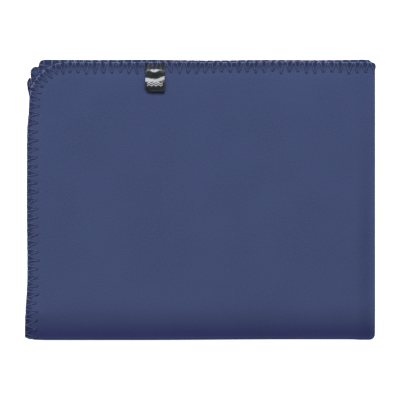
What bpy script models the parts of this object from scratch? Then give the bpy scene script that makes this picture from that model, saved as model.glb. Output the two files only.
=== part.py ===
"""Quick-dry travel towel, folded into a flat pad of eight layers.

The towel is one sheet of microfibre cloth. It is folded in half along its length (the top folds), in
half across its width (the side folds), and in half along its length again (the bottom rolls). That
leaves eight layers: four in the front half and four in the back half. Layer 1 of each half is its
outermost one, so front_layer_1 is the face that is seen and back_layer_1 lies on the surface.

Frame: metres, +X to the right along the pad's width, +Y towards its open hemmed edge, +Z up. The
origin is on the surface, under the middle of the pad. The front half opens about the bottom fold.
"""

import math

import bmesh
import bpy
from mathutils import Vector

# The folded pad
FOLDED_WIDTH = 0.1505
FOLDED_DEPTH = 0.1203

# The cloth, and how its layers lie on each other
CLOTH = 0.0008
LAYER_GAP = 0.00035
HEART_GAP = 0.0018
LAYERS = 4

# The overlocked edge, and the clearance between pieces that meet
HEM_WIDTH = 0.0043
PIECE_GAP = 0.0003

# How far each front layer's raw edges stand in from the pad's outline, and its corner's radius
FRONT_LEFT_INSET = (0.0, 0.0050, 0.0013, 0.0013)
FRONT_TOP_INSET = (0.0010, 0.0, 0.0030, 0.0030)
FRONT_CORNER_RADIUS = (0.0185, 0.0026, 0.0026, 0.0026)

# The same for the back half, whose top edges are folds: layers 1 and 2 share one, 3 and 4 the other
BACK_LEFT_INSET = (0.0, 0.0008, 0.0016, 0.0016)
OUTER_FOLD_INSET = 0.0078
INNER_FOLD_INSET = 0.0048

# The satin loop label
LABEL_WIDTH = 0.0083
LABEL_LENGTH = 0.0130
LABEL_PLY = 0.0002
LABEL_PLY_GAP = 0.0003
LABEL_FROM_LEFT = 0.0553

# Smoothness of the round stretches
FOLD_STEPS = 14
CORNER_STEPS = 10
CORNER_PIECE_STEPS = 16

# Worked out from the sizes above
PITCH = CLOTH + LAYER_GAP
HALF_STACK = HEART_GAP / 2 + (LAYERS - 1) * PITCH + CLOTH
MIDDLE_Z = HALF_STACK
X_LEFT = -FOLDED_WIDTH / 2
X_RIGHT = FOLDED_WIDTH / 2
Y_BOTTOM = -FOLDED_DEPTH / 2
Y_TOP = FOLDED_DEPTH / 2
OUTER_SIDE_RADIUS = (LAYERS - 1) * PITCH / 2
INNER_SIDE_RADIUS = PITCH / 2
TOP_FOLD_RADIUS = PITCH / 2
SIDE_FOLD_X = X_RIGHT - OUTER_SIDE_RADIUS - CLOTH / 2
ROLL_Y = Y_BOTTOM + HALF_STACK

CLOTH_COLOUR = (67, 77, 114)
THREAD_COLOUR = (70, 80, 116)
LABEL_COLOUR = (43, 50, 54)


def clear_scene():
    for old in list(bpy.data.objects):
        bpy.data.objects.remove(old, do_unlink=True)


def new_collection(name):
    collection = bpy.data.collections.new(name)
    bpy.context.scene.collection.children.link(collection)
    return collection


def linear(channel):
    """One sRGB channel, from 0 to 255, as the linear value that a shader takes."""
    share = channel / 255
    return share / 12.92 if share <= 0.04045 else ((share + 0.055) / 1.055) ** 2.4


def material(name, colour, roughness):
    made = bpy.data.materials.new(name)
    made.use_nodes = True
    shader = made.node_tree.nodes["Principled BSDF"]
    shader.inputs["Base Color"].default_value = (*(linear(c) for c in colour), 1.0)
    shader.inputs["Roughness"].default_value = roughness
    shader.inputs["Metallic"].default_value = 0.0
    return made


def add_cloth(piece):
    piece.data.materials.append(material(piece.name + "_microfibre", CLOTH_COLOUR, 0.9))


def add_thread(piece):
    piece.data.materials.append(material(piece.name + "_thread", THREAD_COLOUR, 0.6))


def add_satin(piece):
    piece.data.materials.append(material(piece.name + "_satin", LABEL_COLOUR, 0.35))


def arc(centre, radius, start_deg, end_deg, steps):
    """Points along an arc in a plane, both ends included."""
    points = []
    for step in range(steps + 1):
        angle = math.radians(start_deg + (end_deg - start_deg) * step / steps)
        points.append((centre[0] + radius * math.cos(angle), centre[1] + radius * math.sin(angle)))
    return points


def flat_sheet(name, outline, thickness, middle_z):
    """A flat piece: its outline in X and Y, filled, and given its thickness."""
    curve = bpy.data.curves.new(name, "CURVE")
    curve.dimensions = "2D"
    curve.fill_mode = "BOTH"
    curve.extrude = thickness / 2
    spline = curve.splines.new("POLY")
    spline.points.add(len(outline) - 1)
    for point, (x, y) in zip(spline.points, outline):
        point.co = (x, y, 0.0, 1.0)
    spline.use_cyclic_u = True
    piece = bpy.data.objects.new(name, curve)
    piece.location.z = middle_z
    PAD.objects.link(piece)
    return piece


def mesh_piece(name, profile):
    """A new object whose mesh is an open line of points, joined in order."""
    shape = bmesh.new()
    line = [shape.verts.new(point) for point in profile]
    for first, second in zip(line, line[1:]):
        shape.edges.new((first, second))
    mesh = bpy.data.meshes.new(name)
    shape.to_mesh(mesh)
    shape.free()
    piece = bpy.data.objects.new(name, mesh)
    PAD.objects.link(piece)
    return piece


def give_thickness(piece, thickness):
    solidify = piece.modifiers.new("Thickness", "SOLIDIFY")
    solidify.thickness = thickness
    solidify.offset = 0.0


def swept_sheet(name, profile, sweep, thickness):
    """A bent sheet: a line of points drawn out along a straight sweep, with its thickness."""
    piece = mesh_piece(name, profile)
    shape = bmesh.new()
    shape.from_mesh(piece.data)
    drawn = bmesh.ops.extrude_edge_only(shape, edges=shape.edges[:])
    moved = [part for part in drawn["geom"] if isinstance(part, bmesh.types.BMVert)]
    bmesh.ops.translate(shape, verts=moved, vec=Vector(sweep))
    shape.to_mesh(piece.data)
    shape.free()
    piece.data.shade_smooth()
    give_thickness(piece, thickness)
    return piece


def layer_radius(layer):
    """How far a layer's middle is from the plane between the halves, and from the roll's axis."""
    return HEART_GAP / 2 + CLOTH / 2 + (LAYERS - layer) * PITCH


def front_z(layer):
    return MIDDLE_Z + layer_radius(layer)


def back_z(layer):
    return MIDDLE_Z - layer_radius(layer)


def fold_inset(layer):
    """How far the back half's fold that holds this layer stands in from the pad's top."""
    return OUTER_FOLD_INSET if layer <= 2 else INNER_FOLD_INSET


def top_fold_y(layer):
    """The middle of the top fold that holds this back layer."""
    return Y_TOP - fold_inset(layer) - TOP_FOLD_RADIUS - CLOTH / 2


def front_edges(layer):
    left = X_LEFT + FRONT_LEFT_INSET[layer - 1]
    top = Y_TOP - FRONT_TOP_INSET[layer - 1]
    return left, top, FRONT_CORNER_RADIUS[layer - 1]


def front_panel(layer):
    """The flat of a front layer, inside its hem, with its corner rounded where the radius allows."""
    left, top, radius = front_edges(layer)
    left += HEM_WIDTH + PIECE_GAP
    top -= HEM_WIDTH + PIECE_GAP
    radius = max(radius - HEM_WIDTH - PIECE_GAP, CLOTH)
    right = SIDE_FOLD_X - PIECE_GAP
    bottom = ROLL_Y + PIECE_GAP
    corner = arc((left + radius, top - radius), radius, 180, 90, CORNER_STEPS)
    outline = [(right, bottom), (left, bottom)] + corner + [(right, top)]
    piece = flat_sheet(f"front_layer_{layer}", outline, CLOTH, front_z(layer))
    add_cloth(piece)


def front_hem(layer):
    """The overlocked edge of a front layer, up its left side, round its corner and along its top."""
    left, top, radius = front_edges(layer)
    inner = max(radius - HEM_WIDTH, CLOTH)
    bottom = ROLL_Y + PIECE_GAP
    right = SIDE_FOLD_X - PIECE_GAP
    outside = arc((left + radius, top - radius), radius, 180, 90, CORNER_STEPS)
    inside_centre = (left + HEM_WIDTH + inner, top - HEM_WIDTH - inner)
    inside = arc(inside_centre, inner, 90, 180, CORNER_STEPS)
    outline = [(left, bottom)] + outside + [(right, top), (right, top - HEM_WIDTH)] + inside
    outline.append((left + HEM_WIDTH, bottom))
    piece = flat_sheet(f"front_hem_{layer}", outline, CLOTH, front_z(layer))
    add_thread(piece)


def back_panel(layer):
    left = X_LEFT + BACK_LEFT_INSET[layer - 1] + HEM_WIDTH + PIECE_GAP
    right = SIDE_FOLD_X - PIECE_GAP
    bottom = ROLL_Y + PIECE_GAP
    top = top_fold_y(layer) - PIECE_GAP
    outline = [(left, bottom), (left, top), (right, top), (right, bottom)]
    piece = flat_sheet(f"back_layer_{layer}", outline, CLOTH, back_z(layer))
    add_cloth(piece)


def back_hem(layer):
    """The overlocked left edge of a back layer, which runs up to its top fold."""
    left = X_LEFT + BACK_LEFT_INSET[layer - 1]
    bottom = ROLL_Y + PIECE_GAP
    top = top_fold_y(layer) - PIECE_GAP
    outline = [(left, bottom), (left, top), (left + HEM_WIDTH, top), (left + HEM_WIDTH, bottom)]
    piece = flat_sheet(f"back_hem_{layer}", outline, CLOTH, back_z(layer))
    add_thread(piece)


def top_fold(name, outer_layer):
    """Where two back layers turn over into each other along the top."""
    middle = (back_z(outer_layer) + back_z(outer_layer + 1)) / 2
    bend = arc((top_fold_y(outer_layer), middle), TOP_FOLD_RADIUS, 90, -90, FOLD_STEPS)
    left = X_LEFT + max(BACK_LEFT_INSET[outer_layer - 1], BACK_LEFT_INSET[outer_layer])
    profile = [(left, y, z) for y, z in bend]
    piece = swept_sheet(name, profile, (SIDE_FOLD_X - PIECE_GAP - left, 0, 0), CLOTH)
    add_cloth(piece)


def side_fold(name, radius, middle_z, top):
    """Where layers turn over into each other along the right-hand side of one half."""
    bottom = ROLL_Y + PIECE_GAP
    bend = arc((SIDE_FOLD_X, middle_z), radius, 90, -90, FOLD_STEPS)
    profile = [(x, bottom, z) for x, z in bend]
    piece = swept_sheet(name, profile, (0, top - bottom, 0), CLOTH)
    add_cloth(piece)


def bottom_roll(layer):
    """Where a layer of the front half turns round the bottom into the same layer of the back half."""
    left = X_LEFT + max(FRONT_LEFT_INSET[layer - 1], BACK_LEFT_INSET[layer - 1])
    bend = arc((ROLL_Y, MIDDLE_Z), layer_radius(layer), 90, 270, FOLD_STEPS + 4)
    profile = [(left, y, z) for y, z in bend]
    piece = swept_sheet(f"bottom_roll_{layer}", profile, (SIDE_FOLD_X - PIECE_GAP - left, 0, 0), CLOTH)
    add_cloth(piece)


def roll_corner(name, radius):
    """The corner where a side fold goes round the bottom: the side fold's bend, turned half a turn."""
    reach = (layer_radius(1) + layer_radius(LAYERS)) / 2
    bend = arc((0.0, reach), radius, 90, -90, FOLD_STEPS)
    piece = mesh_piece(name, [(x, 0.0, z) for x, z in bend])
    piece.location = (SIDE_FOLD_X, ROLL_Y, MIDDLE_Z)
    turn = piece.modifiers.new("Turn", "SCREW")
    turn.axis = "X"
    turn.angle = math.pi
    turn.steps = CORNER_PIECE_STEPS
    turn.render_steps = CORNER_PIECE_STEPS
    turn.use_merge_vertices = False
    turn.use_smooth_shade = True
    give_thickness(piece, CLOTH)
    add_cloth(piece)


def label_heights():
    """The middles of the label's lower and upper plies, which lie on the front layer."""
    lower = MIDDLE_Z + HALF_STACK + PIECE_GAP + LABEL_PLY / 2
    return lower, lower + LABEL_PLY + LABEL_PLY_GAP


def label_ends():
    """The label's top, at the hem's edge, the seam line where it starts to swing, and its free end."""
    top = Y_TOP - FRONT_TOP_INSET[0]
    return top, top - HEM_WIDTH, top - LABEL_LENGTH


def label_sewn_end():
    """The end of the label that the overlock stitches hold down, both plies pressed into one.

    Its top stays below the flap's, so that the flap can fold back over it about its own top edge.
    """
    top, seam, _ = label_ends()
    lower, _ = label_heights()
    left = X_LEFT + LABEL_FROM_LEFT - LABEL_WIDTH / 2
    right = left + LABEL_WIDTH
    outline = [(left, seam + PIECE_GAP), (left, top), (right, top), (right, seam + PIECE_GAP)]
    piece = flat_sheet("label_sewn_end", outline, 2 * LABEL_PLY, lower + LABEL_PLY / 2)
    add_satin(piece)


def label_flap():
    """The free loop of the label: down from the seam, round at its end, and back up."""
    _, seam, end = label_ends()
    lower, upper = label_heights()
    radius = (upper - lower) / 2
    bend_y = end + radius + LABEL_PLY / 2
    bend = arc((bend_y, (lower + upper) / 2), radius, 90, 270, FOLD_STEPS)
    left = X_LEFT + LABEL_FROM_LEFT - LABEL_WIDTH / 2
    profile = [(left, y, z) for y, z in [(seam, upper)] + bend + [(seam, lower)]]
    piece = swept_sheet("label_flap", profile, (LABEL_WIDTH, 0, 0), LABEL_PLY)
    add_satin(piece)


def side_folds():
    mean = (layer_radius(1) + layer_radius(LAYERS)) / 2
    front_top = Y_TOP - FRONT_TOP_INSET[0]
    front_inner_top = Y_TOP - max(FRONT_TOP_INSET[1], FRONT_TOP_INSET[2])
    side_fold("front_side_fold_outer", OUTER_SIDE_RADIUS, MIDDLE_Z + mean, front_top)
    side_fold("front_side_fold_inner", INNER_SIDE_RADIUS, MIDDLE_Z + mean, front_inner_top)
    back_top = min(top_fold_y(1), top_fold_y(LAYERS))
    side_fold("back_side_fold_outer", OUTER_SIDE_RADIUS, MIDDLE_Z - mean, back_top)
    side_fold("back_side_fold_inner", INNER_SIDE_RADIUS, MIDDLE_Z - mean, back_top)


clear_scene()
PAD = new_collection("quick_dry_towel")
for number in range(1, LAYERS + 1):
    front_panel(number)
    front_hem(number)
    back_panel(number)
    back_hem(number)
    bottom_roll(number)
top_fold("top_fold_outer", 1)
top_fold("top_fold_inner", 3)
side_folds()
roll_corner("roll_corner_outer", OUTER_SIDE_RADIUS)
roll_corner("roll_corner_inner", INNER_SIDE_RADIUS)
label_sewn_end()
label_flap()
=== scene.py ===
# %% [markdown]
# # A folded quick-dry towel
# The towel is one sheet of sueded microfibre, folded three times into a flat pad of eight layers. Its
# cut edge is bound all round by an overlock seam, and a loop of satin ribbon is caught in that seam.
# Each of these is made flat first, as the real one is cut and sewn flat, and one function then folds
# everything together, so that cloth and stitches can't drift apart.

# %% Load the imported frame
import math

import bmesh
import bpy
import numpy as np
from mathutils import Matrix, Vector


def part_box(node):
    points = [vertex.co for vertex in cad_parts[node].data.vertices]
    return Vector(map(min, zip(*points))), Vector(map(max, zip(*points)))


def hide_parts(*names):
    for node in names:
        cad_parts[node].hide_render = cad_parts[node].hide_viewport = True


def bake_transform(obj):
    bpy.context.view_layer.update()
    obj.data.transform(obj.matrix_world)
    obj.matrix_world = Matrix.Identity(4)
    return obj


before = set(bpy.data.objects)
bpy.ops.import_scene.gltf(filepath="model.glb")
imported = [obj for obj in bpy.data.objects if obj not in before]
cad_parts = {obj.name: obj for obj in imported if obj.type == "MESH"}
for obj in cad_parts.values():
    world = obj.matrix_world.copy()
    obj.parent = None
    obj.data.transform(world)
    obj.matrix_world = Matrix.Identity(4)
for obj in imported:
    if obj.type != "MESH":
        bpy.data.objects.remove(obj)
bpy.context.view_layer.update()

# %% [markdown]
# ## Sizes
# The cloth's thickness, the distance between layers, the axes that the layers turn about and the places
# of the raw edges are all read from the frame's own nodes. They could be typed in as numbers, but then the
# sheet would drift away from the frame's simple plates as soon as one of those changed. Only what the
# plates can't say is typed in: the sheet's flat size, its corners and the length of a stitch.

# %% Read the fold's sizes from the frame
MM = 0.001
FACE_LOW, FACE_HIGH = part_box("front_layer_1")
ROLL_LOW, ROLL_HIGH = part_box("bottom_roll_1")
SIDE_LOW, SIDE_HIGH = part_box("front_side_fold_outer")
CLOTH = FACE_HIGH.z - FACE_LOW.z
PITCH = FACE_HIGH.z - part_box("front_layer_2")[1].z
MIDDLE_Z = (ROLL_LOW.z + ROLL_HIGH.z) / 2
FACE_Z = FACE_HIGH.z
ROLL_Y = ROLL_HIGH.y
SIDE_X = SIDE_LOW.x
MEAN_RADIUS = (SIDE_LOW.z + SIDE_HIGH.z) / 2 - MIDDLE_Z
HEM_LEFT = [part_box(f"front_hem_{layer}")[0].x for layer in (1, 2, 3, 4)]
HEM_TOP = [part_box(f"front_hem_{layer}")[1].y for layer in (1, 2, 3, 4)]
BACK_LEFT = [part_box(f"back_hem_{layer}")[0].x for layer in (1, 2, 3, 4)]
OUTER_FOLD_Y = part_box("top_fold_outer")[1].y - (PITCH + CLOTH) / 2
INNER_FOLD_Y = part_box("top_fold_inner")[1].y - (PITCH + CLOTH) / 2
print("cloth, layer to layer in mm:", round(CLOTH / MM, 2), round(PITCH / MM, 2))

# %% The flat sheet's size
FLAT_WIDTH = 0.302
FLAT_LENGTH = 0.466
CORNER_RADII = {"first": 0.0185, "second": 0.0026, "third": 0.0026, "fourth": 0.0026}
STITCH = 0.00365
print("flat sheet in mm:", FLAT_WIDTH / MM, "x", FLAT_LENGTH / MM)

# %% [markdown]
# ## Folding
# A real towel is folded by hand, one fold after another. The same is done here with arithmetic: a point
# of the flat sheet, with its height above the sheet's middle, is carried round the first fold, then the
# second, then the third. Each fold is half a turn round an axis, and the cloth that lies further out takes
# the wider way round. Because each fold only bends space, layers can't cut through each other. A cloth
# simulation could fold it too, but eight layers in contact take long and need a very fine mesh.


# %% The fold function
def share(value, low, high):
    """How far value is from low to high, as a smooth step from 0 to 1."""
    t = np.clip((value - low) / (high - low), 0.0, 1.0)
    return t * t * (3 - 2 * t)


def wander(place, phase):
    """A slow, uneven drift of up to 0.2 mm, for hand-folded edges that are never quite straight."""
    return 0.00010 * (np.sin(place / 0.021 + phase) + np.sin(place / 0.0082 + 2.7 * phase))


def fold(flat):
    """Carries points of the flat sheet (along its width, along its length, height) to the folded pad."""
    across, along, height = flat[:, 0], flat[:, 1], flat[:, 2]
    first_ply = along < FLAT_LENGTH / 2
    left_half = across < FLAT_WIDTH / 2
    way = np.where(first_ply, along, FLAT_LENGTH - along) / (FLAT_LENGTH / 2)
    reach = np.where(left_half, across, FLAT_WIDTH - across) / (FLAT_WIDTH / 2)

    # Where the raw edges of this stretch come to lie, which changes slowly round the folds
    nominal_turn = np.clip((across - FLAT_WIDTH / 2) / (math.pi * PITCH) + 0.5, 0.0, 1.0)
    outer_top = HEM_TOP[0] + (HEM_TOP[3] - HEM_TOP[0]) * nominal_turn
    inner_top = HEM_TOP[1] + (HEM_TOP[2] - HEM_TOP[1]) * nominal_turn
    top = np.where(first_ply, outer_top, inner_top)
    top = top + wander(across, 0.6 + 1.9 * first_ply)
    fold_y = OUTER_FOLD_Y + (INNER_FOLD_Y - OUTER_FOLD_Y) * nominal_turn
    front_left = np.select(
        [first_ply & left_half, left_half, first_ply], [HEM_LEFT[0], HEM_LEFT[1], HEM_LEFT[3]], HEM_LEFT[2]
    )
    back_left = np.where(left_half, (BACK_LEFT[0] + BACK_LEFT[1]) / 2, (BACK_LEFT[2] + BACK_LEFT[3]) / 2)
    left = front_left + (back_left - front_left) * way
    left = left + wander(way * FLAT_LENGTH / 2, 1.3 * left_half + 2.1 * first_ply) * (1 - way)

    # The length of the whole way from the raw top edge, round the bottom and up to the first fold
    nominal_arm = np.where(first_ply, 1.5, 0.5) * PITCH * np.cos(math.pi * nominal_turn)
    nominal_radius = MEAN_RADIUS + nominal_arm
    down = top - ROLL_Y
    round_bottom = math.pi * nominal_radius
    up = fold_y - ROLL_Y
    place = way * (down + round_bottom + up + math.pi * PITCH / 4)

    # First fold: the second ply goes behind the first
    turn = np.clip((place - down - round_bottom - up) / (PITCH / 2), 0.0, math.pi / 2)
    facing = np.where(first_ply, 1.0, -1.0)
    beyond = (PITCH / 2 + height) * np.sin(turn)
    first_height = facing * (PITCH / 2 + height) * np.cos(turn)
    first_middle = facing * PITCH / 2 * np.cos(turn)

    # Second fold: the right-hand half goes behind the left-hand one
    side_radius = PITCH + first_middle
    straight = SIDE_X - left
    side_place = reach * (straight + math.pi / 2 * side_radius)
    side_turn = np.maximum(side_place - straight, 0.0) / side_radius
    side_turn = np.where(left_half, side_turn, math.pi - side_turn)
    arm = PITCH + first_height
    x = np.where(side_place < straight, left + side_place, SIDE_X + arm * np.sin(side_turn))
    radius = MEAN_RADIUS + arm * np.cos(side_turn)

    # Third fold: the lower half goes behind the upper one, round the bottom
    bottom_turn = np.clip((place - down) / nominal_radius, 0.0, math.pi)
    y = ROLL_Y - radius * np.sin(bottom_turn)
    y = y + np.where(place < down, down - place, 0.0)
    y = y + np.clip(place - down - round_bottom, 0.0, up) + beyond
    z = MIDDLE_Z + radius * np.cos(bottom_turn)
    return np.column_stack([x, y, z])


sheet_middle = fold(np.array([[FLAT_WIDTH / 2, FLAT_LENGTH / 2, 0.0]]))[0]
print("the flat sheet's middle is folded to, in mm:", np.round(sheet_middle / MM, 1))

# %% [markdown]
# A folded towel isn't a machined block. Its weight and the hand that pressed it leave the face a little
# uneven, thinner towards the bottom roll, and the seam's stiff corner stands out. Sculpting could shape
# this on the folded mesh, but its eight layers would have to be moved alike. Here these are smooth moves
# of the space that the pad fills, so every layer and every stitch makes them together.

# %% The settling function
LEFT_X = HEM_LEFT[0]
RIGHT_X = SIDE_HIGH.x
BOTTOM_Y = ROLL_LOW.y
TOP_Y = max(HEM_TOP)
NEEDLE_LINE = 0.0041
GAP_TOP = MIDDLE_Z + 0.0007
GAP_BOTTOM = MIDDLE_Z - 0.0007
EASE = 0.0004  # height over which the pressing sets in above the gap
CREST = 0.0105  # how far from the bottom edge the face starts to slope down
ROLL_SLOPE = 0.37
MOST_PRESSED = 0.76


def settle(points):
    """Moves points of the folded pad as its own weight and a pressing hand leave it.

    The gap between the front half and the back half keeps its height, because the pad opens there."""
    x, y, z = points[:, 0].copy(), points[:, 1].copy(), points[:, 2].copy()
    lifted = share(z, GAP_TOP, FACE_Z) + 0.25 * np.sin(math.pi * np.clip(z / GAP_BOTTOM, 0.0, 1.0))

    # The upper half slopes down to the bottom roll, and is pressed a little thinner at the tight seams
    past_crest = BOTTOM_Y + CREST - y
    slope_down = ROLL_SLOPE * (past_crest + np.hypot(past_crest, 0.0012)) / 2
    to_roll = np.minimum(slope_down / (FACE_Z - GAP_TOP), MOST_PRESSED)
    to_top_seam = 1 - np.clip((TOP_Y - NEEDLE_LINE - y) / 0.014, 0.0, 1.0)
    to_left_seam = 1 - np.clip((x - LEFT_X - NEEDLE_LINE) / 0.012, 0.0, 1.0)
    pressed = 1 - to_roll - 0.14 * to_top_seam**2 - 0.06 * to_left_seam**2
    above = np.maximum(z - GAP_TOP, 0.0)
    eased = EASE * (1 - np.exp(-above / EASE))
    z = np.where(z > GAP_TOP, GAP_TOP + eased + (above - eased) * pressed, z)

    # A slow unevenness over the whole face, and more of it where the layers end in free edges
    uneven = 0.00026 * np.sin(x / 0.027 + 0.7) * np.cos(y / 0.031 + 0.3)
    uneven += 0.00012 * np.sin((x + 0.6 * y) / 0.0115 + 1.9)
    at_left = 1 - share(x, LEFT_X, LEFT_X + 0.030)
    at_top = share(y, TOP_Y - 0.030, TOP_Y)
    uneven += 0.00030 * at_left * np.sin(y / 0.0105 + 0.8) + 0.00025 * at_top * np.sin(x / 0.0130 + 2.0)
    z = z + uneven * lifted

    # The seam flares out at the bottom left, and its stiff end keeps the roll a little shorter there. The
    # rest of the roll sags a little further out towards the left, and at its right-hand corner
    flare = (1 - share(y, BOTTOM_Y + 0.001, BOTTOM_Y + 0.030)) * (1 - share(x, LEFT_X, LEFT_X + 0.012))
    at_roll = 1 - share(y, BOTTOM_Y, BOTTOM_Y + 0.010)
    seam_end = 1 - share(x, LEFT_X + 0.0030, LEFT_X + 0.0040)
    left_sag = 0.00034 * (1 - share(x, -0.030, 0.040))
    corner_sag = 0.00030 * np.exp(-(((x - RIGHT_X + 0.0045) / 0.0030) ** 2))
    x = x - 0.0011 * flare
    y = y + (0.0004 * seam_end - 0.0005 - (left_sag + corner_sag)) * at_roll

    # Below the rounded corners the left edges are drawn in a little, and the back half's corners stick out
    near_left = 1 - share(x, LEFT_X, LEFT_X + 0.020)
    drawn_in = np.exp(-(((y - OUTER_FOLD_Y + 0.0098) / 0.0095) ** 2))
    below_fold = np.exp(-(((y - OUTER_FOLD_Y + 0.0024) / 0.0064) ** 2))
    sticks_out = below_fold * (1 - share(z, MIDDLE_Z - 0.0004, MIDDLE_Z))
    fold_tip = share(y, OUTER_FOLD_Y - 0.0012, OUTER_FOLD_Y + 0.0010) * (z < MIDDLE_Z)
    x = x + near_left * (0.0011 * drawn_in - 0.0012 * sticks_out + 0.0008 * fold_tip)
    y = y + 0.0005 * near_left * sticks_out
    rounded = (1 - share(x, LEFT_X - 0.0012, LEFT_X + 0.0014)) * (1 - share(y, BOTTOM_Y, BOTTOM_Y + 0.0035))
    y = y + 0.0009 * rounded

    # The side fold is fullest where the seam's thickness turns round it, at the top
    full = share(x, RIGHT_X - 0.006, RIGHT_X) * np.exp(-(((y - TOP_Y + 0.0032) / 0.003) ** 2))
    x = x + 0.0002 * full
    return np.column_stack([x, y, z])


roll_crest = np.array([[0.0, BOTTOM_Y + 0.005, FACE_Z]])
print("the roll's face settles by, in mm:", round((settle(roll_crest) - roll_crest)[0, 2] / MM, 1))

# %% [markdown]
# ## Helpers
# Blender's operators act on whatever is selected, so each step first selects just its own piece.
# Coordinates are read and written as one array, which is quick for a mesh of many thousands of points.


# %% Small helpers
def select_only(piece):
    bpy.ops.object.select_all(action="DESELECT")
    piece.select_set(True)
    bpy.context.view_layer.objects.active = piece


def read_points(piece):
    flat = np.empty(len(piece.data.vertices) * 3)
    piece.data.vertices.foreach_get("co", flat)
    return flat.reshape(-1, 3)


def write_points(piece, points):
    piece.data.vertices.foreach_set("co", np.ascontiguousarray(points, np.float32).ravel())
    piece.data.update()


def apply_modifier(piece, kind, **settings):
    select_only(piece)
    modifier = piece.modifiers.new(kind.title(), kind)
    for name, value in settings.items():
        setattr(modifier, name, value)
    bpy.ops.object.modifier_apply(modifier=modifier.name)


def spaced(stops):
    """Grid lines: each stop is a place and the spacing of the lines that lead up to it."""
    lines = [0.0]
    for stop, spacing in stops:
        count = max(1, round((stop - lines[-1]) / spacing))
        lines += list(np.linspace(lines[-1], stop, count + 1)[1:])
    return np.array(lines)


finer_strip = spaced([(0.002, 0.001), (0.003, 0.0005)])
print("lines of a strip that gets finer, in mm:", np.round(finer_strip / MM, 1))

# %% [markdown]
# ## The sheet
# The cloth is cut flat and has a cut edge, so it starts as a flat grid. The grid's lines stand closer
# together where a fold will be, because a tight bend needs many short faces, and the flat parts need few.
# The band under the seam is subdivided, for the dimples that the needle leaves. The flat grid then gets
# its thickness, and only after that is it folded. Solidify could thicken the folded sheet instead, but it
# guesses at tight bends, and this way both faces of the cloth bend exactly.

# %% Cut the flat grid
side_fold = FLAT_WIDTH / 2
across_lines = spaced([
    (side_fold - 0.0032, STITCH), (side_fold + 0.0032, 0.0003), (FLAT_WIDTH, STITCH),
])
first_fold = FLAT_LENGTH / 2
half_lines = [
    (0.1118, STITCH), (0.1160, 0.0006), (0.1210, 0.00025), (0.1274, 0.0006), (first_fold - 0.0015, STITCH),
]
along_lines = spaced(half_lines)
along_lines = np.concatenate([
    along_lines, spaced([(0.003, 0.00025)])[1:-1] + along_lines[-1], FLAT_LENGTH - along_lines[::-1],
])
bpy.ops.object.select_all(action="DESELECT")
bpy.ops.mesh.primitive_grid_add(
    x_subdivisions=len(across_lines) - 1, y_subdivisions=len(along_lines) - 1, size=1.0
)
cloth = bpy.context.object
cloth.name = "microfibre_sheet"
grid = read_points(cloth)
grid[:, 0] = np.interp(grid[:, 0] + 0.5, np.linspace(0, 1, len(across_lines)), across_lines)
grid[:, 1] = np.interp(grid[:, 1] + 0.5, np.linspace(0, 1, len(along_lines)), along_lines)
write_points(cloth, grid)
print("flat grid:", len(across_lines) - 1, "x", len(along_lines) - 1, "faces")


# %% Subdivide the band that the seam covers
def edge_distance(points):
    """How far points of the flat sheet are from its nearest cut edge."""
    to_sides = np.minimum(points[:, 0], FLAT_WIDTH - points[:, 0])
    to_ends = np.minimum(points[:, 1], FLAT_LENGTH - points[:, 1])
    return np.minimum(to_sides, to_ends)


select_only(cloth)
bpy.ops.object.mode_set(mode="EDIT")
bpy.ops.mesh.select_mode(type="FACE")
bpy.ops.mesh.select_all(action="DESELECT")
shape = bmesh.from_edit_mesh(cloth.data)
for face in shape.faces:
    middle = np.array([face.calc_center_median()])
    if edge_distance(middle)[0] < 2 * STITCH and face.calc_area() > 0.3 * STITCH**2:
        face.select_set(True)
bmesh.update_edit_mesh(cloth.data)
bpy.ops.mesh.subdivide(number_cuts=3)
bpy.ops.object.mode_set(mode="OBJECT")
print("faces with the seam's band subdivided:", len(cloth.data.polygons))

# %% [markdown]
# Towels of this kind have rounded corners, because an overlock machine can't turn a sharp one. A bevel
# would cut them, but leaves faces of many sides. So the square corners of the grid are drawn in to arcs,
# which keeps it a grid. The one on the face is the widest, and the three behind it look tighter, because
# the cloth bunches up where it is folded.

# %% Round the corners and give the cloth its thickness
corner_places = {
    "first": (0.0, 0.0), "second": (0.0, FLAT_LENGTH), "third": (FLAT_WIDTH, FLAT_LENGTH),
    "fourth": (FLAT_WIDTH, 0.0),
}


def round_corners(points):
    """Draws the square corners of the flat sheet in, so that each becomes an arc of its radius."""
    points = points.copy()
    for name, (corner_x, corner_y) in corner_places.items():
        radius = CORNER_RADII[name]
        inward_x = 1 if corner_x == 0 else -1
        inward_y = 1 if corner_y == 0 else -1
        centre_x, centre_y = corner_x + inward_x * radius, corner_y + inward_y * radius
        off_x, off_y = (centre_x - points[:, 0]) * inward_x, (centre_y - points[:, 1]) * inward_y
        inside = (off_x > 0) & (off_y > 0)
        square = np.maximum(off_x, off_y)
        pull = np.where(inside, square / np.maximum(np.hypot(off_x, off_y), 1e-9), 1.0)
        points[inside, 0] = (centre_x - inward_x * off_x * pull)[inside]
        points[inside, 1] = (centre_y - inward_y * off_y * pull)[inside]
    return points


write_points(cloth, round_corners(read_points(cloth)))
apply_modifier(cloth, "SOLIDIFY", thickness=CLOTH, offset=0.0)
print("sheet's vertices:", len(cloth.data.vertices))

# %% [markdown]
# ## The overlock seam
# Three threads make the seam. The needle thread runs in a row of short stitches 4 mm in from the edge, and
# is pulled tight, so that it sinks into the nap. The upper looper thread crosses the face from each
# stitch to the edge and back, in a row of Vs. The lower looper thread crosses the back in narrower Vs and
# comes round the edge, where the two meet in a bead. An Array along a curve could repeat one stitch, but
# every stitch would be the same. So each thread is one bevelled curve, whose stitches each lean and reach
# in their own way. It is made a mesh, and folded with the cloth.

# %% The line of the cut edge
corner_order = ["fourth", "third", "second", "first"]
ARC_STEPS = 24


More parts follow.
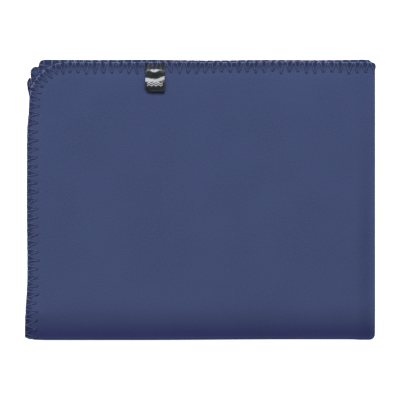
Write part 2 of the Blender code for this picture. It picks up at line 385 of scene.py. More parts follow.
def edge_line():
    """Points and inward directions along the flat sheet's whole cut edge, corner by corner."""
    places, inwards = [], []
    for number, name in enumerate(corner_order):
        corner_x, corner_y = corner_places[name]
        radius = CORNER_RADII[name]
        centre = np.array([abs(corner_x - radius), abs(corner_y - radius)])
        start = 1.5 * math.pi + number * math.pi / 2
        for angle in np.linspace(start, start + math.pi / 2, ARC_STEPS):
            outward = np.array([math.cos(angle), math.sin(angle)])
            places.append(centre + radius * outward)
            inwards.append(-outward)
    places.append(places[0])
    inwards.append(inwards[0])
    return np.array(places), np.array(inwards)


line_places, line_inwards = edge_line()
line_lengths = np.concatenate([[0.0], np.cumsum(np.linalg.norm(np.diff(line_places, axis=0), axis=1))])
STITCHES = round(line_lengths[-1] / STITCH)
stitch_length = line_lengths[-1] / STITCHES
print("cut edge in mm:", round(line_lengths[-1] / MM), "with", STITCHES, "stitches")


# %% From the cut edge to the flat sheet, and back
def from_edge(run, inset, height):
    """Points of the flat sheet: so far along the cut edge, so far in from it, so high above the middle."""
    run = np.mod(run, line_lengths[-1])
    inward = np.column_stack([np.interp(run, line_lengths, line_inwards[:, axis]) for axis in (0, 1)])
    inward /= np.linalg.norm(inward, axis=1)[:, None]
    place = np.column_stack([np.interp(run, line_lengths, line_places[:, axis]) for axis in (0, 1)])
    place = place + inward * np.asarray(inset)[:, None]
    return np.column_stack([place, height])


def seam_places(points):
    """For each point of the flat sheet, how far along the cut edge it lies and how far in from it."""
    x, y = points[:, 0], points[:, 1]
    sides = np.array([FLAT_WIDTH - x, FLAT_LENGTH - y, x, y])
    nearest = np.argmin(sides, axis=0)
    inset = np.min(sides, axis=0)
    runs = []
    for number in range(4):
        end = ARC_STEPS * (number + 1) - 1
        along = (y, x)[number % 2]
        runs.append(line_lengths[end] + np.abs(along - line_places[end][(1, 0)[number % 2]]))
    run = np.choose(nearest, runs)
    for number, name in enumerate(corner_order):
        corner_x, corner_y = corner_places[name]
        radius = CORNER_RADII[name]
        centre_x, centre_y = abs(corner_x - radius), abs(corner_y - radius)
        off_x, off_y = x - centre_x, y - centre_y
        inside = (off_x * (1 if corner_x else -1) > 0) & (off_y * (1 if corner_y else -1) > 0)
        turned = np.mod(np.arctan2(off_y, off_x) - (1.5 + 0.5 * number) * math.pi + 1e-6, 2 * math.pi)
        run = np.where(inside, line_lengths[ARC_STEPS * number] + radius * turned, run)
        inset = np.where(inside, radius - np.hypot(off_x, off_y), inset)
    return run, inset


there = from_edge(np.array([0.2]), np.array([0.003]), np.array([0.0]))
print("200 mm along the edge and 3 mm in comes back as", np.round(np.ravel(seam_places(there)) / MM, 1))

# %% [markdown]
# Tight stitches press the cloth thinner along the seam and pull a small pit at each needle hole. The
# sheet gets two UV maps before it is folded: one in metres of flat cloth, which the nap follows, and
# one that counts stitches along the edge and metres in from it, which the seam's grooves follow. An
# unwrap of the folded sheet couldn't tell where each stitch is.

# %% Press the cloth under the seam, map it and fold it
ARM_AT_EDGE = 0.36  # how far each arm of a V is from its needle hole, in stitches
ARM_AT_NEEDLE = 0.06
rng = np.random.default_rng(11)
LEANS = np.clip(rng.normal(0, 0.12, STITCHES), -0.24, 0.24)
REACHES = 1 + np.clip(rng.normal(0, 0.06, STITCHES), -0.12, 0.12)


def add_uv_map(piece, name, places):
    """Gives a piece a UV map from one place for each of its points."""
    layer = piece.data.uv_layers.get(name) or piece.data.uv_layers.new(name=name)
    corners = np.empty(len(piece.data.loops), dtype=np.int64)
    piece.data.loops.foreach_get("vertex_index", corners)
    layer.data.foreach_set("uv", places[corners].astype(np.float32).ravel())


flat_points = read_points(cloth)
run, inset = seam_places(flat_points)
in_stitches = run / stitch_length
stitch_number = np.mod(np.round(in_stitches).astype(int), STITCHES)
leaned = in_stitches - LEANS[stitch_number] * (1 - np.clip(inset / NEEDLE_LINE, 0.0, 1.0))
add_uv_map(cloth, "UVMap", flat_points[:, :2])
add_uv_map(cloth, "seam", np.column_stack([leaned, inset / REACHES[stitch_number]]))
bound = 1 - share(inset, NEEDLE_LINE, NEEDLE_LINE + 0.0030)
needle_row = np.exp(-(((inset - NEEDLE_LINE) / 0.0008) ** 2))
pits = needle_row * (0.5 + 0.5 * np.cos(in_stitches * 2 * math.pi)) ** 2
flat_points[:, 2] *= 1 - 0.22 * bound - 0.10 * needle_row - 0.55 * pits
write_points(cloth, settle(fold(flat_points)))
select_only(cloth)
bpy.ops.object.shade_smooth_by_angle(angle=math.radians(50))
print("folded sheet in mm:", [round(1000 * side, 1) for side in cloth.dimensions])

# %% [markdown]
# ## The label's place
# The label is a strip of satin ribbon, folded once, with both ends caught under the seam on the face. The
# seam's threads ride up over it, so its place is needed before the threads are made.

# %% Where the label crosses the seam
FLAP_LOW, FLAP_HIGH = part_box("label_flap")
LABEL_X = (FLAP_LOW.x + FLAP_HIGH.x) / 2
LABEL_WIDTH = FLAP_HIGH.x - FLAP_LOW.x
RIBBON = 0.00018
OVER_SEAM = 0.00040
face_reach = SIDE_X - HEM_LEFT[0] + math.pi / 2 * 1.5 * PITCH
print("label in mm: centre at x", round(LABEL_X / MM, 1), "and", round(LABEL_WIDTH / MM, 1), "wide")


def to_flat_across(x):
    """The place across the flat sheet of a place along the face's seam."""
    return (x - HEM_LEFT[0]) / face_reach * FLAT_WIDTH / 2


def over_label(points):
    """How much a thread at these flat points is lifted by the ribbon under it."""
    beside = np.abs(points[:, 0] - to_flat_across(LABEL_X)) - LABEL_WIDTH / 2
    on_face = (points[:, 1] < 0.009) & (points[:, 2] > 0.0001)
    return np.where(on_face, (OVER_SEAM + 1.6 * RIBBON) * (1 - share(beside, -0.0002, 0.0008)), 0.0)


# %% Sew the three threads
def sew(name, stitch_shape, radius):
    """One thread: one stitch's shape repeated round the edge, each leaning and reaching its own way."""
    runs, insets, heights = [], [], []
    for number in range(STITCHES):
        for step, in_mm, up_mm in stitch_shape:
            nearest = (number + round(step)) % STITCHES
            lean = LEANS[nearest] * (1 - min(in_mm * MM / NEEDLE_LINE, 1.0))
            runs.append((number + step + lean + rng.normal(0, 0.028)) * stitch_length)
            insets.append((in_mm * REACHES[nearest] + rng.normal(0, 0.04)) * MM)
            heights.append((up_mm + rng.normal(0, 0.02)) * MM)
    path = from_edge(np.array(runs), np.array(insets), np.array(heights))
    path[:, 2] += over_label(path)
    curve = bpy.data.curves.new(name, "CURVE")
    curve.dimensions = "3D"
    curve.bevel_depth = radius
    curve.bevel_resolution = 1
    spline = curve.splines.new("POLY")
    spline.points.add(len(path) - 1)
    spline.points.foreach_set("co", np.column_stack([path, np.ones(len(path))]).ravel())
    spline.use_cyclic_u = True
    thread = bpy.data.objects.new(name, curve)
    bpy.context.scene.collection.objects.link(thread)
    select_only(thread)
    bpy.ops.object.convert(target="MESH")
    thread = bpy.context.object
    flat_thread = read_points(thread)
    along_edge, in_from_edge = seam_places(flat_thread)
    add_uv_map(thread, "seam", np.column_stack([along_edge / stitch_length, in_from_edge]))
    write_points(thread, settle(fold(flat_thread)))
    bpy.ops.object.shade_smooth()
    print(name, "has", len(thread.data.polygons), "faces")
    return thread


# Each point of a stitch: share of the stitch along the edge, mm in from the edge, mm above the middle
needle_stitch = [
    (0.05, 4.1, -0.10), (0.16, 4.1, 0.10), (0.5, 4.1, 0.16), (0.84, 4.1, 0.10), (0.95, 4.1, -0.10),
]
upper_stitch = [
    (0.0, 4.20, 0.02), (0.05, 4.00, 0.12), (0.14, 2.9, 0.20), (0.24, 1.6, 0.30), (0.33, 0.45, 0.38),
    (0.40, 0.08, 0.36), (0.5, 0.02, 0.38), (0.60, 0.08, 0.36), (0.67, 0.45, 0.38), (0.76, 1.6, 0.30),
    (0.86, 2.9, 0.20), (0.95, 4.00, 0.12),
]
lower_stitch = [
    (0.0, 4.30, -0.14), (0.03, 3.0, -0.36), (0.06, 1.5, -0.38), (0.08, 0.42, -0.36), (0.10, 0.12, -0.14),
    (0.15, 0.08, 0.10), (0.22, 0.12, 0.24), (0.36, 0.08, 0.16), (0.64, 0.08, 0.16), (0.78, 0.12, 0.24),
    (0.85, 0.08, 0.10), (0.90, 0.12, -0.14), (0.92, 0.42, -0.36), (0.94, 1.5, -0.38), (0.97, 3.0, -0.36),
]
needle_thread = sew("needle_thread", needle_stitch, radius=0.00012)
upper_looper = sew("upper_looper_thread", upper_stitch, radius=0.00017)
lower_looper = sew("lower_looper_thread", lower_stitch, radius=0.00020)

# %% [markdown]
# ## The label
# The ribbon comes out from under the stitches, rises, dips and rises again before it turns under and
# goes back flat on the cloth. Its two rises are what catch the light. A simulation could drop a ribbon
# into such folds, but not into these ones. So it is a strip of faces, thickened, and then bent along a
# line that is drawn in side view. Where threads cross it, it bulges up between them.

# %% The ribbon's line in side view
HEM_EDGE_Y = HEM_TOP[0]
SEAM_Y = FLAP_HIGH.y
END_Y = FLAP_LOW.y
UNDER_PLY = 0.00020
# Each point: mm from the seam's needle line towards the free end, mm above the towel's face
upper_ply = [
    (-4.2, 0.34), (-3.0, 0.36), (-2.0, 0.39), (-1.2, 0.44), (-0.2, 0.56), (0.5, 0.63), (1.2, 0.64),
    (2.0, 0.62), (2.5, 0.66), (3.2, 0.94), (3.9, 1.24), (4.6, 1.40), (5.6, 1.40), (6.6, 1.24), (7.6, 1.00),
]


def ribbon_side_view():
    """The ribbon's line from its upper end in the seam, out to the free end, round and back."""
    y = SEAM_Y - MM * np.array([out for out, up in upper_ply])
    z = FACE_Z + MM * np.array([up for out, up in upper_ply])
    radius = 0.00036
    turn = np.linspace(0.4 * math.pi, -0.5 * math.pi, 9)
    y = np.concatenate([y, END_Y + radius - radius * np.cos(turn)])
    z = np.concatenate([z, FACE_Z + UNDER_PLY + radius + radius * np.sin(turn)])
    y = np.concatenate([y, [SEAM_Y - 0.004, SEAM_Y + 0.0004, HEM_EDGE_Y - 0.0002]])
    z = np.concatenate([z, FACE_Z + UNDER_PLY - np.array([0.0, 0.00010, 0.00014])])
    run = np.concatenate([[0.0], np.cumsum(np.hypot(np.diff(y), np.diff(z)))])
    return run, y, z


def smooth_curve(run, values, at):
    """A smooth curve through values at run, read at other places."""
    slopes = np.gradient(values, run)
    index = np.clip(np.searchsorted(run, at) - 1, 0, len(run) - 2)
    gap = run[index + 1] - run[index]
    t = (at - run[index]) / gap
    start, end = values[index], values[index + 1]
    return (
        (2 * t**3 - 3 * t**2 + 1) * start + (t**3 - 2 * t**2 + t) * gap * slopes[index]
        + (3 * t**2 - 2 * t**3) * end + (t**3 - t**2) * gap * slopes[index + 1]
    )


ribbon_run, ribbon_y, ribbon_z = ribbon_side_view()
RIBBON_LENGTH = ribbon_run[-1]
UPPER_LENGTH = ribbon_run[len(upper_ply) - 1]
print("ribbon's length in mm:", round(RIBBON_LENGTH / MM, 1))


# %% Bend the ribbon
def bend_ribbon(strip):
    """Carries points of the flat ribbon (across, along, height) to where it lies on the towel."""
    across, at = strip[:, 0], np.clip(strip[:, 1], 0.0, RIBBON_LENGTH)
    on_upper = 1 - share(at, UPPER_LENGTH - 0.0022, UPPER_LENGTH - 0.0004)
    from_middle = across / (LABEL_WIDTH / 2)
    sooner = 0.0008 * (from_middle**2 + 0.35 * from_middle - 0.35) * on_upper * share(at, 0.003, 0.006)
    read_at = at + sooner
    y = smooth_curve(ribbon_run, ribbon_y, at)
    z = smooth_curve(ribbon_run, ribbon_z, read_at)
    step = 0.00002
    before, after = np.maximum(read_at - step, 0.0), np.minimum(read_at + step, RIBBON_LENGTH)
    dy = smooth_curve(ribbon_run, ribbon_y, after) - smooth_curve(ribbon_run, ribbon_y, before)
    dz = smooth_curve(ribbon_run, ribbon_z, after) - smooth_curve(ribbon_run, ribbon_z, before)
    size = np.hypot(dy, dz)

    # Between the threads that cross it, the upper ply bulges
    run, inset = seam_places(np.column_stack([to_flat_across(LABEL_X + across), HEM_EDGE_Y - y]))
    off_hole = np.abs(np.mod(run / stitch_length + 0.5, 1.0) - 0.5)
    arm = ARM_AT_EDGE + (ARM_AT_NEEDLE - ARM_AT_EDGE) * inset / NEEDLE_LINE
    from_thread = np.abs(off_hole - arm) * stitch_length
    bulge = 0.00020 * share(from_thread, 0.0, 0.0009) * on_upper * (1 - share(inset, 0.0036, 0.0050))
    hump = np.exp(-(((across + 0.0001) / 0.0016) ** 2) - ((SEAM_Y - 0.0002 - y) / 0.0011) ** 2)
    slack = (1 - from_middle**2) * share(SEAM_Y - y, 0.0024, 0.0040)
    bulge = bulge + (0.00055 * hump - 0.00016 * slack) * on_upper

    # The folded end's left corner is drawn in and down
    at_end = share(END_Y + 0.0020 - y, 0.0, 0.0020)
    at_end = at_end * share(-across, LABEL_WIDTH / 2 - 0.0030, LABEL_WIDTH / 2)
    x = LABEL_X + across + 0.0010 * at_end
    z = z + strip[:, 2] * -dy / size + bulge
    z = FACE_Z + (z - FACE_Z) * (1 - 0.35 * at_end)
    return np.column_stack([x, y + strip[:, 2] * dz / size, z])


second_rise = bend_ribbon(np.array([[0.0, UPPER_LENGTH - 0.0024, 0.0]]))[0, 2] - FACE_Z
print("the ribbon's second rise above the face, in mm:", round(second_rise / MM, 2))

# %% Make the ribbon
bpy.ops.object.select_all(action="DESELECT")
bpy.ops.mesh.primitive_grid_add(x_subdivisions=28, y_subdivisions=110, size=1.0)
label = bpy.context.object
label.name = "label_ribbon"
strip = read_points(label)
strip[:, 0] *= LABEL_WIDTH
strip[:, 1] = (strip[:, 1] + 0.5) * RIBBON_LENGTH
write_points(label, strip)
add_uv_map(label, "UVMap", strip[:, :2])
apply_modifier(label, "SOLIDIFY", thickness=RIBBON, offset=0.0)
write_points(label, settle(bend_ribbon(read_points(label))))
select_only(label)
bpy.ops.object.shade_smooth_by_angle(angle=math.radians(50))
print("bent label in mm:", [round(1000 * side, 1) for side in label.dimensions])

# %% [markdown]
# ## Materials
# Every pattern is worked out from a real size in millimetres. The towel and its label carry UV maps in
# metres of flat cloth, so a weave follows the cloth round its folds.


# %% Material helpers
def linear(hex_colour):
    """An sRGB hex colour as the linear values that a shader takes."""
    channels = [int(hex_colour[i:i + 2], 16) / 255 for i in (1, 3, 5)]
    return [c / 12.92 if c <= 0.04045 else ((c + 0.055) / 1.055) ** 2.4 for c in channels] + [1.0]


def add_node(tree, kind, settings=None, values=None, links=None):
    """Adds a node with its settings, the values of its inputs, and what is linked to them."""
    node = tree.nodes.new(kind)
    for name, value in (settings or {}).items():
        setattr(node, name, value)
    for name, value in (values or {}).items():
        node.inputs[name].default_value = value
    for name, source in (links or {}).items():
        tree.links.new(source, node.inputs[name])
    return node


def sum_up(tree, operation, *terms):
    """A Math node's result: each term is a number or another node's output."""
    node = tree.nodes.new("ShaderNodeMath")
    node.operation = operation
    for socket, term in zip(node.inputs, terms):
        if isinstance(term, (int, float)):
            socket.default_value = term
        else:
            tree.links.new(term, socket)
    return node.outputs[0]


def step_between(tree, value, low, high):
    """A smooth step from 0 at low to 1 at high."""
    node = add_node(tree, "ShaderNodeMapRange", {"interpolation_type": "SMOOTHSTEP"},
                    {"From Min": low, "From Max": high}, {"Value": value})
    return node.outputs["Result"]


def mix_colours(tree, share_of_second, first, second, blend="MIX"):
    """Mixes two colours: each is a node's output or a linear colour."""
    node = add_node(tree, "ShaderNodeMix", {"data_type": "RGBA", "blend_type": blend})
    sockets = [node.inputs[0], node.inputs[6], node.inputs[7]]
    for socket, term in zip(sockets, [share_of_second, first, second]):
        if isinstance(term, (int, float, list)):
            socket.default_value = term
        else:
            tree.links.new(term, socket)
    return node.outputs[2]


def new_material(name):
    made = bpy.data.materials.new(name)
    made.use_nodes = True
    return made, made.node_tree, made.node_tree.nodes["Principled BSDF"]


def per_mm(size):
    """The scale of a texture, in features per metre, whose features are this many millimetres."""
    return 1.0 / (size * MM)


def set_finish(shader, **values):
    for name, value in values.items():
        shader.inputs[name.replace("_", " ").title().replace("Ior", "IOR")].default_value = value


print("navy as linear values:", [round(channel, 3) for channel in linear("#394367")[:3]])

# %% [markdown]
# ### The cloth
# Sueded microfibre is a warp knit of very fine polyester, brushed until its loops break into a short nap.
# The nap scatters light: the cloth looks matt, its colour clouds softly where the nap lies another way,
# and edges seen on the slant look paler. Hair particles could make a nap, but millions of them. Noise in
# colour and height with a little sheen gives the same look, and stays fast. Under the seam's threads the
# nap is pressed flat, so the grooves between the threads are bumped in, and they lie in their own
# shadow, which is painted into the cloth's colour as a darker tone.


# %% The seam's grooves
def groove_depth_and_shade(tree):
    """How far the nap is pressed under and between the looper's threads, from 0 to 1; painted shade follows
    it.
    """
    seam = add_node(tree, "ShaderNodeUVMap", {"uv_map": "seam"}).outputs["UV"]
    split = add_node(tree, "ShaderNodeSeparateXYZ", {}, {}, {"Vector": seam})
    along, inset = split.outputs["X"], split.outputs["Y"]
    phase = sum_up(tree, "FRACT", sum_up(tree, "ADD", along, 0.5))
    off_hole = sum_up(tree, "ABSOLUTE", sum_up(tree, "SUBTRACT", phase, 0.5))
    slope = (ARM_AT_NEEDLE - ARM_AT_EDGE) / NEEDLE_LINE
    arm = sum_up(tree, "MULTIPLY_ADD", inset, slope, ARM_AT_EDGE)
    past_arm = sum_up(tree, "MULTIPLY", sum_up(tree, "SUBTRACT", off_hole, arm), stitch_length)
    off_arm = sum_up(tree, "ABSOLUTE", past_arm)
    groove = sum_up(tree, "SUBTRACT", 1.0, step_between(tree, off_arm, 0.0001, 0.0007))
    inside = step_between(tree, past_arm, 0.0003, -0.0004)
    near_edge = sum_up(tree, "SUBTRACT", 1.0, step_between(tree, inset, 0.0009, 0.0030))
    row = sum_up(tree, "MULTIPLY", step_between(tree, inset, 0.0002, 0.0007),
                 step_between(tree, inset, 0.0030, 0.0012))
    broken = add_node(tree, "ShaderNodeTexNoise", {}, {"Scale": per_mm(1.6), "Detail": 1.0},
                      {"Vector": add_node(tree, "ShaderNodeUVMap", {"uv_map": "UVMap"}).outputs["UV"]})
    row = sum_up(tree, "MULTIPLY", row, step_between(tree, broken.outputs["Fac"], 0.35, 0.60))
    sunk = sum_up(tree, "MULTIPLY_ADD", step_between(tree, broken.outputs["Fac"], 0.62, 0.40), 0.65, 0.35)
    groove = sum_up(tree, "MULTIPLY", groove, sunk)
    hollow = sum_up(tree, "MAXIMUM", sum_up(tree, "MULTIPLY", inside, near_edge), row)
    in_seam = sum_up(tree, "SUBTRACT", 1.0, step_between(tree, inset, 0.0038, 0.0047))
    hole_along = sum_up(tree, "MULTIPLY", off_hole, stitch_length)
    hole_in = sum_up(tree, "SUBTRACT", inset, NEEDLE_LINE)
    squares = [sum_up(tree, "POWER", side, 2.0) for side in (hole_along, hole_in)]
    off_centre = sum_up(tree, "SQRT", sum_up(tree, "ADD", *squares))
    hole = sum_up(tree, "SUBTRACT", 1.0, step_between(tree, off_centre, 0.0002, 0.0010))
    pressed = sum_up(tree, "MAXIMUM", groove, hollow)
    return sum_up(tree, "MAXIMUM", sum_up(tree, "MULTIPLY", pressed, in_seam), hole)


print("a V is open at the edge by, in mm:", round(2 * ARM_AT_EDGE * stitch_length / MM, 1))

# %% [markdown]
# Painted shade darkens the cloth round its folds, and makes it bluer, so the bottom roll looks darker and
# bluer than the face. The side fold is a tighter bend, and a darker strip of painted shade runs beside it,
# stronger towards the roll. Each fold's own outermost line, which catches the light, is left nearly as pale
# as the rest.


# %% Where painted shade darkens the folds
down_the_sheet = np.linspace(0.0, FLAT_LENGTH / 2, 900)
trial = np.column_stack([np.full(900, FLAT_WIDTH / 4), down_the_sheet, np.zeros(900)])
ROLL_PLACE = float(down_the_sheet[np.argmin(fold(trial)[:, 1])])
print("outermost line of the bottom roll, mm along the sheet:", round(ROLL_PLACE / MM, 1))


def painted_fold_shade(tree, place):
    """How strongly painted shade darkens the bottom roll, and the strip beside the side fold."""
    split = add_node(tree, "ShaderNodeSeparateXYZ", {}, {}, {"Vector": place})
    off_middle = sum_up(tree, "ABSOLUTE", sum_up(tree, "SUBTRACT", split.outputs["Y"], FLAT_LENGTH / 2))
    off_roll = sum_up(tree, "SUBTRACT", off_middle, FLAT_LENGTH / 2 - ROLL_PLACE)
    off_roll = sum_up(tree, "ABSOLUTE", off_roll)
    # Less painted shade on the roll's outermost line, which catches the light
    shade_off_rim = sum_up(tree, "MULTIPLY_ADD", step_between(tree, off_roll, 0.0012, 0.0042), 0.7, 0.3)
    at_roll = sum_up(tree, "MULTIPLY", step_between(tree, off_roll, 0.0115, 0.0050), shade_off_rim)
    off_side = sum_up(tree, "ABSOLUTE", sum_up(tree, "SUBTRACT", split.outputs["X"], FLAT_WIDTH / 2))
    beside_fold = sum_up(tree, "MULTIPLY", step_between(tree, off_side, 0.0100, 0.0048),
                         step_between(tree, off_side, 0.0020, 0.0040))
    shade_towards_roll = sum_up(tree, "MULTIPLY_ADD", step_between(tree, off_middle, 0.213, 0.165), 0.8, 0.2)
    return at_roll, sum_up(tree, "MULTIPLY", beside_fold, shade_towards_roll)


# %% Sueded microfibre
def sueded_microfibre():
    made, tree, shader = new_material("sueded_microfibre")
    place = add_node(tree, "ShaderNodeUVMap", {"uv_map": "UVMap"}).outputs["UV"]
    # Real nap is finer than 0.1 mm, which can't show: it is drawn at 0.7 mm, in clouds of 22 mm
    clouds = add_node(tree, "ShaderNodeTexNoise", {}, {"Scale": per_mm(22), "Detail": 3.0},
                      {"Vector": place})
    nap = add_node(tree, "ShaderNodeTexNoise", {}, {"Scale": per_mm(0.7), "Detail": 4.0, "Roughness": 0.7},
                   {"Vector": place})
    colour = mix_colours(tree, step_between(tree, clouds.outputs["Fac"], 0.35, 0.65),
                         linear("#394367"), linear("#3d476c"))
    colour = mix_colours(tree, step_between(tree, nap.outputs["Fac"], 0.3, 0.7), colour, linear("#424d73"))
    at_roll, beside_fold = painted_fold_shade(tree, place)
    # Painted shade: the bottom roll is darker and bluer than the face
    colour = mix_colours(tree, at_roll, colour, linear("#e6dcff"), "MULTIPLY")
    # Painted shade: a darker strip beside the side fold, stronger towards the roll
    colour = mix_colours(tree, beside_fold, colour, linear("#eceef0"), "MULTIPLY")
    pressed = groove_depth_and_shade(tree)
    # Painted shade: the seam's grooves, hollows and needle holes are darkened, for the shade that falls in
    # them
    colour = mix_colours(tree, sum_up(tree, "MULTIPLY", pressed, 0.66), colour, linear("#182142"))
    tree.links.new(colour, shader.inputs["Base Color"])
    nap_height = sum_up(tree, "MULTIPLY", nap.outputs["Fac"], 0.06)
    height = sum_up(tree, "MULTIPLY_ADD", pressed, -0.22, nap_height)
    bump = add_node(tree, "ShaderNodeBump", {}, {"Strength": 1.0, "Distance": MM}, {"Height": height})
    tree.links.new(bump.outputs["Normal"], shader.inputs["Normal"])
    set_finish(shader, roughness=0.95, specular_ior_level=0.12, sheen_weight=0.30, sheen_roughness=0.45,
               sheen_tint=linear("#9aa6d8"))
    return made


cloth_material = sueded_microfibre()
print(cloth_material.name, "has", len(cloth_material.node_tree.nodes), "nodes")

# %% [markdown]
# ### The threads
# Overlock thread is bulked polyester: many loose, crimped filaments that fill the stitch. It is dyed to
# match. Where it is pulled tight across the cloth it is thin and dark, and along the edge it lies loose in
# a bead that catches the light from above: that highlight is painted into its colour, which is paler there.
# Two materials could show this, but the change is gradual, so one material mixes both colours by how far
# in from the edge the thread lies.


# %% Bulked polyester thread
def bulked_thread():
    made, tree, shader = new_material("bulked_polyester_thread")
    place = add_node(tree, "ShaderNodeTexCoord").outputs["Object"]
    filaments = add_node(tree, "ShaderNodeTexNoise", {}, {"Scale": per_mm(0.18), "Detail": 3.0},
                         {"Vector": place})
    lengths = add_node(tree, "ShaderNodeTexNoise", {}, {"Scale": per_mm(2.6), "Detail": 2.0},
                       {"Vector": place})
    shining = step_between(tree, filaments.outputs["Fac"], 0.3, 0.7)
    spread = step_between(tree, lengths.outputs["Fac"], 0.45, 0.75)
    tight = mix_colours(tree, shining, linear("#364063"), linear("#465179"))
    tight = mix_colours(tree, spread, tight, linear("#4e5982"))
    # Painted highlight: the thread along the edge is paler, for the light that its bead catches
    painted_bead_highlight = mix_colours(tree, shining, linear("#4b567f"), linear("#65719c"))
    seam = add_node(tree, "ShaderNodeUVMap", {"uv_map": "seam"}).outputs["UV"]
    inset = add_node(tree, "ShaderNodeSeparateXYZ", {}, {}, {"Vector": seam}).outputs["Y"]
    colour = mix_colours(tree, step_between(tree, inset, 0.0004, 0.0012), painted_bead_highlight, tight)
    tree.links.new(colour, shader.inputs["Base Color"])
    bump = add_node(tree, "ShaderNodeBump", {}, {"Strength": 0.5, "Distance": 0.08 * MM},
                    {"Height": filaments.outputs["Fac"]})
    tree.links.new(bump.outputs["Normal"], shader.inputs["Normal"])
    set_finish(shader, roughness=0.6, specular_ior_level=0.30, sheen_weight=0.2, sheen_roughness=0.5)
    return made


thread_material = bulked_thread()
print(thread_material.name, "has", len(thread_material.node_tree.nodes), "nodes")

# %% [markdown]
# ### The label
# Satin ribbon is woven with long floats of bright filament yarn, so it shines in streaks where it slopes
# to the light and looks almost black where it doesn't. Its print is a plain double wave in pale ink, a
# sign for water that means nothing more. The ink is matt, and a little broken over the ribs. An anisotropic
# shader could draw the streaks, but the floats' own relief makes them as well, and so does a soft puckering
# of the upper ply. The ply below lies flat on the cloth, so it has less of that.


# %% Satin ribbon
def wave_print(tree, place):
    """Where the ink is: two wavy lines across the ribbon, near its crest."""
    wave_length, wave_height, line_gap = 2.0 * MM, 0.28 * MM, 0.84 * MM
    split = add_node(tree, "ShaderNodeSeparateXYZ", {}, {}, {"Vector": place})
    wave = sum_up(tree, "SINE", sum_up(tree, "MULTIPLY", split.outputs["X"], 2 * math.pi / wave_length))
    crest = UPPER_LENGTH - 0.0024
    lines = []
    for shift in (-line_gap / 2, line_gap / 2):
        off_line = sum_up(tree, "SUBTRACT", split.outputs["Y"], crest + shift)
        off_line = sum_up(tree, "SUBTRACT", off_line, sum_up(tree, "MULTIPLY", wave, wave_height))
        lines.append(step_between(tree, sum_up(tree, "ABSOLUTE", off_line), 0.00023, 0.00013))
    within = step_between(tree, sum_up(tree, "ABSOLUTE", split.outputs["X"]), 0.0034, 0.0033)
    return sum_up(tree, "MULTIPLY", sum_up(tree, "MAXIMUM", *lines), within)


def satin_ribbon():
    made, tree, shader = new_material("polyester_satin")
    place = add_node(tree, "ShaderNodeUVMap", {"uv_map": "UVMap"}).outputs["UV"]
    stretched = add_node(tree, "ShaderNodeMapping", {}, {"Scale": (0.12, 1.0, 1.0)},
                         {"Vector": place})
    floats = add_node(tree, "ShaderNodeTexNoise", {}, {"Scale": per_mm(0.22), "Detail": 2.0},
                      {"Vector": stretched.outputs["Vector"]})
    wear = add_node(tree, "ShaderNodeTexNoise", {}, {"Scale": per_mm(0.3), "Detail": 2.0},
                    {"Vector": place})
    colour = mix_colours(tree, step_between(tree, floats.outputs["Fac"], 0.3, 0.7),
                         linear("#15191b"), linear("#23292b"))
    worn = step_between(tree, wear.outputs["Fac"], 0.2, 0.4)
    ink = sum_up(tree, "MULTIPLY", wave_print(tree, place), worn)
    colour = mix_colours(tree, ink, colour, linear("#b4bbc2"))
    tree.links.new(colour, shader.inputs["Base Color"])
    tree.links.new(sum_up(tree, "MULTIPLY_ADD", ink, 0.22, 0.30), shader.inputs["Roughness"])
    puckers = add_node(tree, "ShaderNodeTexNoise", {}, {"Scale": per_mm(2.6), "Detail": 1.0},
                       {"Vector": place})
    along = add_node(tree, "ShaderNodeSeparateXYZ", {}, {}, {"Vector": place}).outputs["Y"]
    under_ply = step_between(tree, along, UPPER_LENGTH - 0.001, UPPER_LENGTH + 0.001)
    depth = sum_up(tree, "MULTIPLY_ADD", under_ply, -0.20, 0.32)
    height = sum_up(tree, "ADD", sum_up(tree, "MULTIPLY", floats.outputs["Fac"], 0.008),
                    sum_up(tree, "MULTIPLY", puckers.outputs["Fac"], depth))
    bump = add_node(tree, "ShaderNodeBump", {}, {"Strength": 1.0, "Distance": MM}, {"Height": height})
    tree.links.new(bump.outputs["Normal"], shader.inputs["Normal"])
    set_finish(shader, specular_ior_level=1.0)
    return made


label_material = satin_ribbon()
print(label_material.name, "has", len(label_material.node_tree.nodes), "nodes")


# %% Give each piece its material
def finish_piece(piece, material):
    piece.data.materials.clear()
    piece.data.materials.append(material)


finish_piece(cloth, cloth_material)
for thread in (needle_thread, upper_looper, lower_looper):
    finish_piece(thread, thread_material)
finish_piece(label, label_material)
for piece in (cloth, upper_looper, label):
    print(piece.name, "is finished in", piece.data.materials[0].name)

# %% [markdown]
# ## The pieces and the frame
# The front half of the pad opens about its bottom fold, and the label swings about the seam. The sheet and
# its threads run through that fold, so they can't be split between the halves. They could follow bones with
# painted weights. No way of moving is set up here: each new piece keeps its folded place, with its
# transform baked in, and the frame's nodes that it stands for are hidden.

# %% Bake the pieces' places and hide the frame's nodes that they stand for
for piece in (cloth, needle_thread, upper_looper, lower_looper):
    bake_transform(piece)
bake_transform(label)

cloth_nodes = [f"{kind}_{n}" for kind in ("front_layer", "back_layer", "bottom_roll") for n in (1, 2, 3, 4)]
fold_nodes = [f"{kind}_{side}" for kind in ("front_side_fold", "back_side_fold", "roll_corner", "top_fold")
              for side in ("outer", "inner")]
hem_nodes = [f"{half}_hem_{n}" for half in ("front", "back") for n in (1, 2, 3, 4)]
label_nodes = ["label_sewn_end", "label_flap"]
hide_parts(*cloth_nodes, *fold_nodes)
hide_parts(*hem_nodes)
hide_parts(*label_nodes)
print("nodes that the new pieces stand for:", len(cloth_nodes + fold_nodes + hem_nodes + label_nodes))

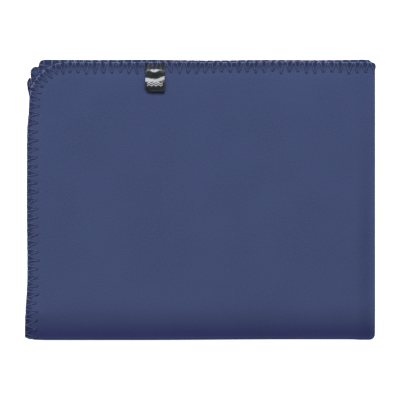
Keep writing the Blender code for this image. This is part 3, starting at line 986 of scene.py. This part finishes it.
# %% [markdown]
# ## Studio
# A light table, which glows so that hardly a shadow shows on it, with a camera straight above. The main
# lamp is a large soft one on the side of the towel's hemmed edge. One bright sky could light all of it,
# but satin mirrors what is above it: the ceiling stays dim, so that the label looks black where it lies
# flat, and two weak lamps fill in the sides.

# %% The light table
bpy.ops.object.select_all(action="DESELECT")
bpy.ops.mesh.primitive_plane_add(size=3.0, location=(0, 0, -0.0004))
table_top = bpy.context.object
table_top.name = "table_top"
white, _, white_shader = new_material("light_table")
set_finish(white_shader, base_color=linear("#f4f4f4"), roughness=0.9,
           emission_color=linear("#ffffff"), emission_strength=0.90)
finish_piece(table_top, white)
print("table top below the towel by, in mm:", round(-table_top.location.z / MM, 1))

# %% The camera
scene = bpy.context.scene
scene.view_settings.view_transform = "Standard"
CAMERA_HEIGHT = 1.8
VIEW_WIDTH = 0.1726
camera_data = bpy.data.cameras.new("camera")
camera_data.sensor_width = 36.0
camera_data.lens = camera_data.sensor_width * (CAMERA_HEIGHT - FACE_Z) / VIEW_WIDTH
camera = bpy.data.objects.new("camera", camera_data)
camera.location = (-0.0005, -0.0003, CAMERA_HEIGHT)
scene.collection.objects.link(camera)
scene.camera = camera
print("camera at a height of", CAMERA_HEIGHT, "m with a lens of", round(camera_data.lens), "mm")

# %% The ceiling and the lamps
world = bpy.data.worlds.new("studio")
world.use_nodes = True
world.node_tree.nodes["Background"].inputs["Color"].default_value = (1, 1, 1, 1)
world.node_tree.nodes["Background"].inputs["Strength"].default_value = 0.10
scene.world = world


def soft_lamp(name, place, width, height, power):
    """A rectangular lamp that faces the towel."""
    data = bpy.data.lights.new(name, "AREA")
    data.shape = "RECTANGLE"
    data.size, data.size_y = width, height
    data.energy = power
    lamp = bpy.data.objects.new(name, data)
    lamp.location = place
    lamp.rotation_euler = (-Vector(place)).to_track_quat("-Z", "Y").to_euler()
    scene.collection.objects.link(lamp)


soft_lamp("main_lamp", (0.0, 1.90, 1.56), 2.4, 1.2, 82.0)
soft_lamp("right_lamp", (0.95, 0.1, 0.75), 0.6, 0.6, 2.2)
soft_lamp("left_lamp", (-0.95, 0.1, 0.75), 0.6, 0.6, 3.2)
print("lamps in watts:", {lamp.name: round(lamp.energy, 1) for lamp in bpy.data.lights})
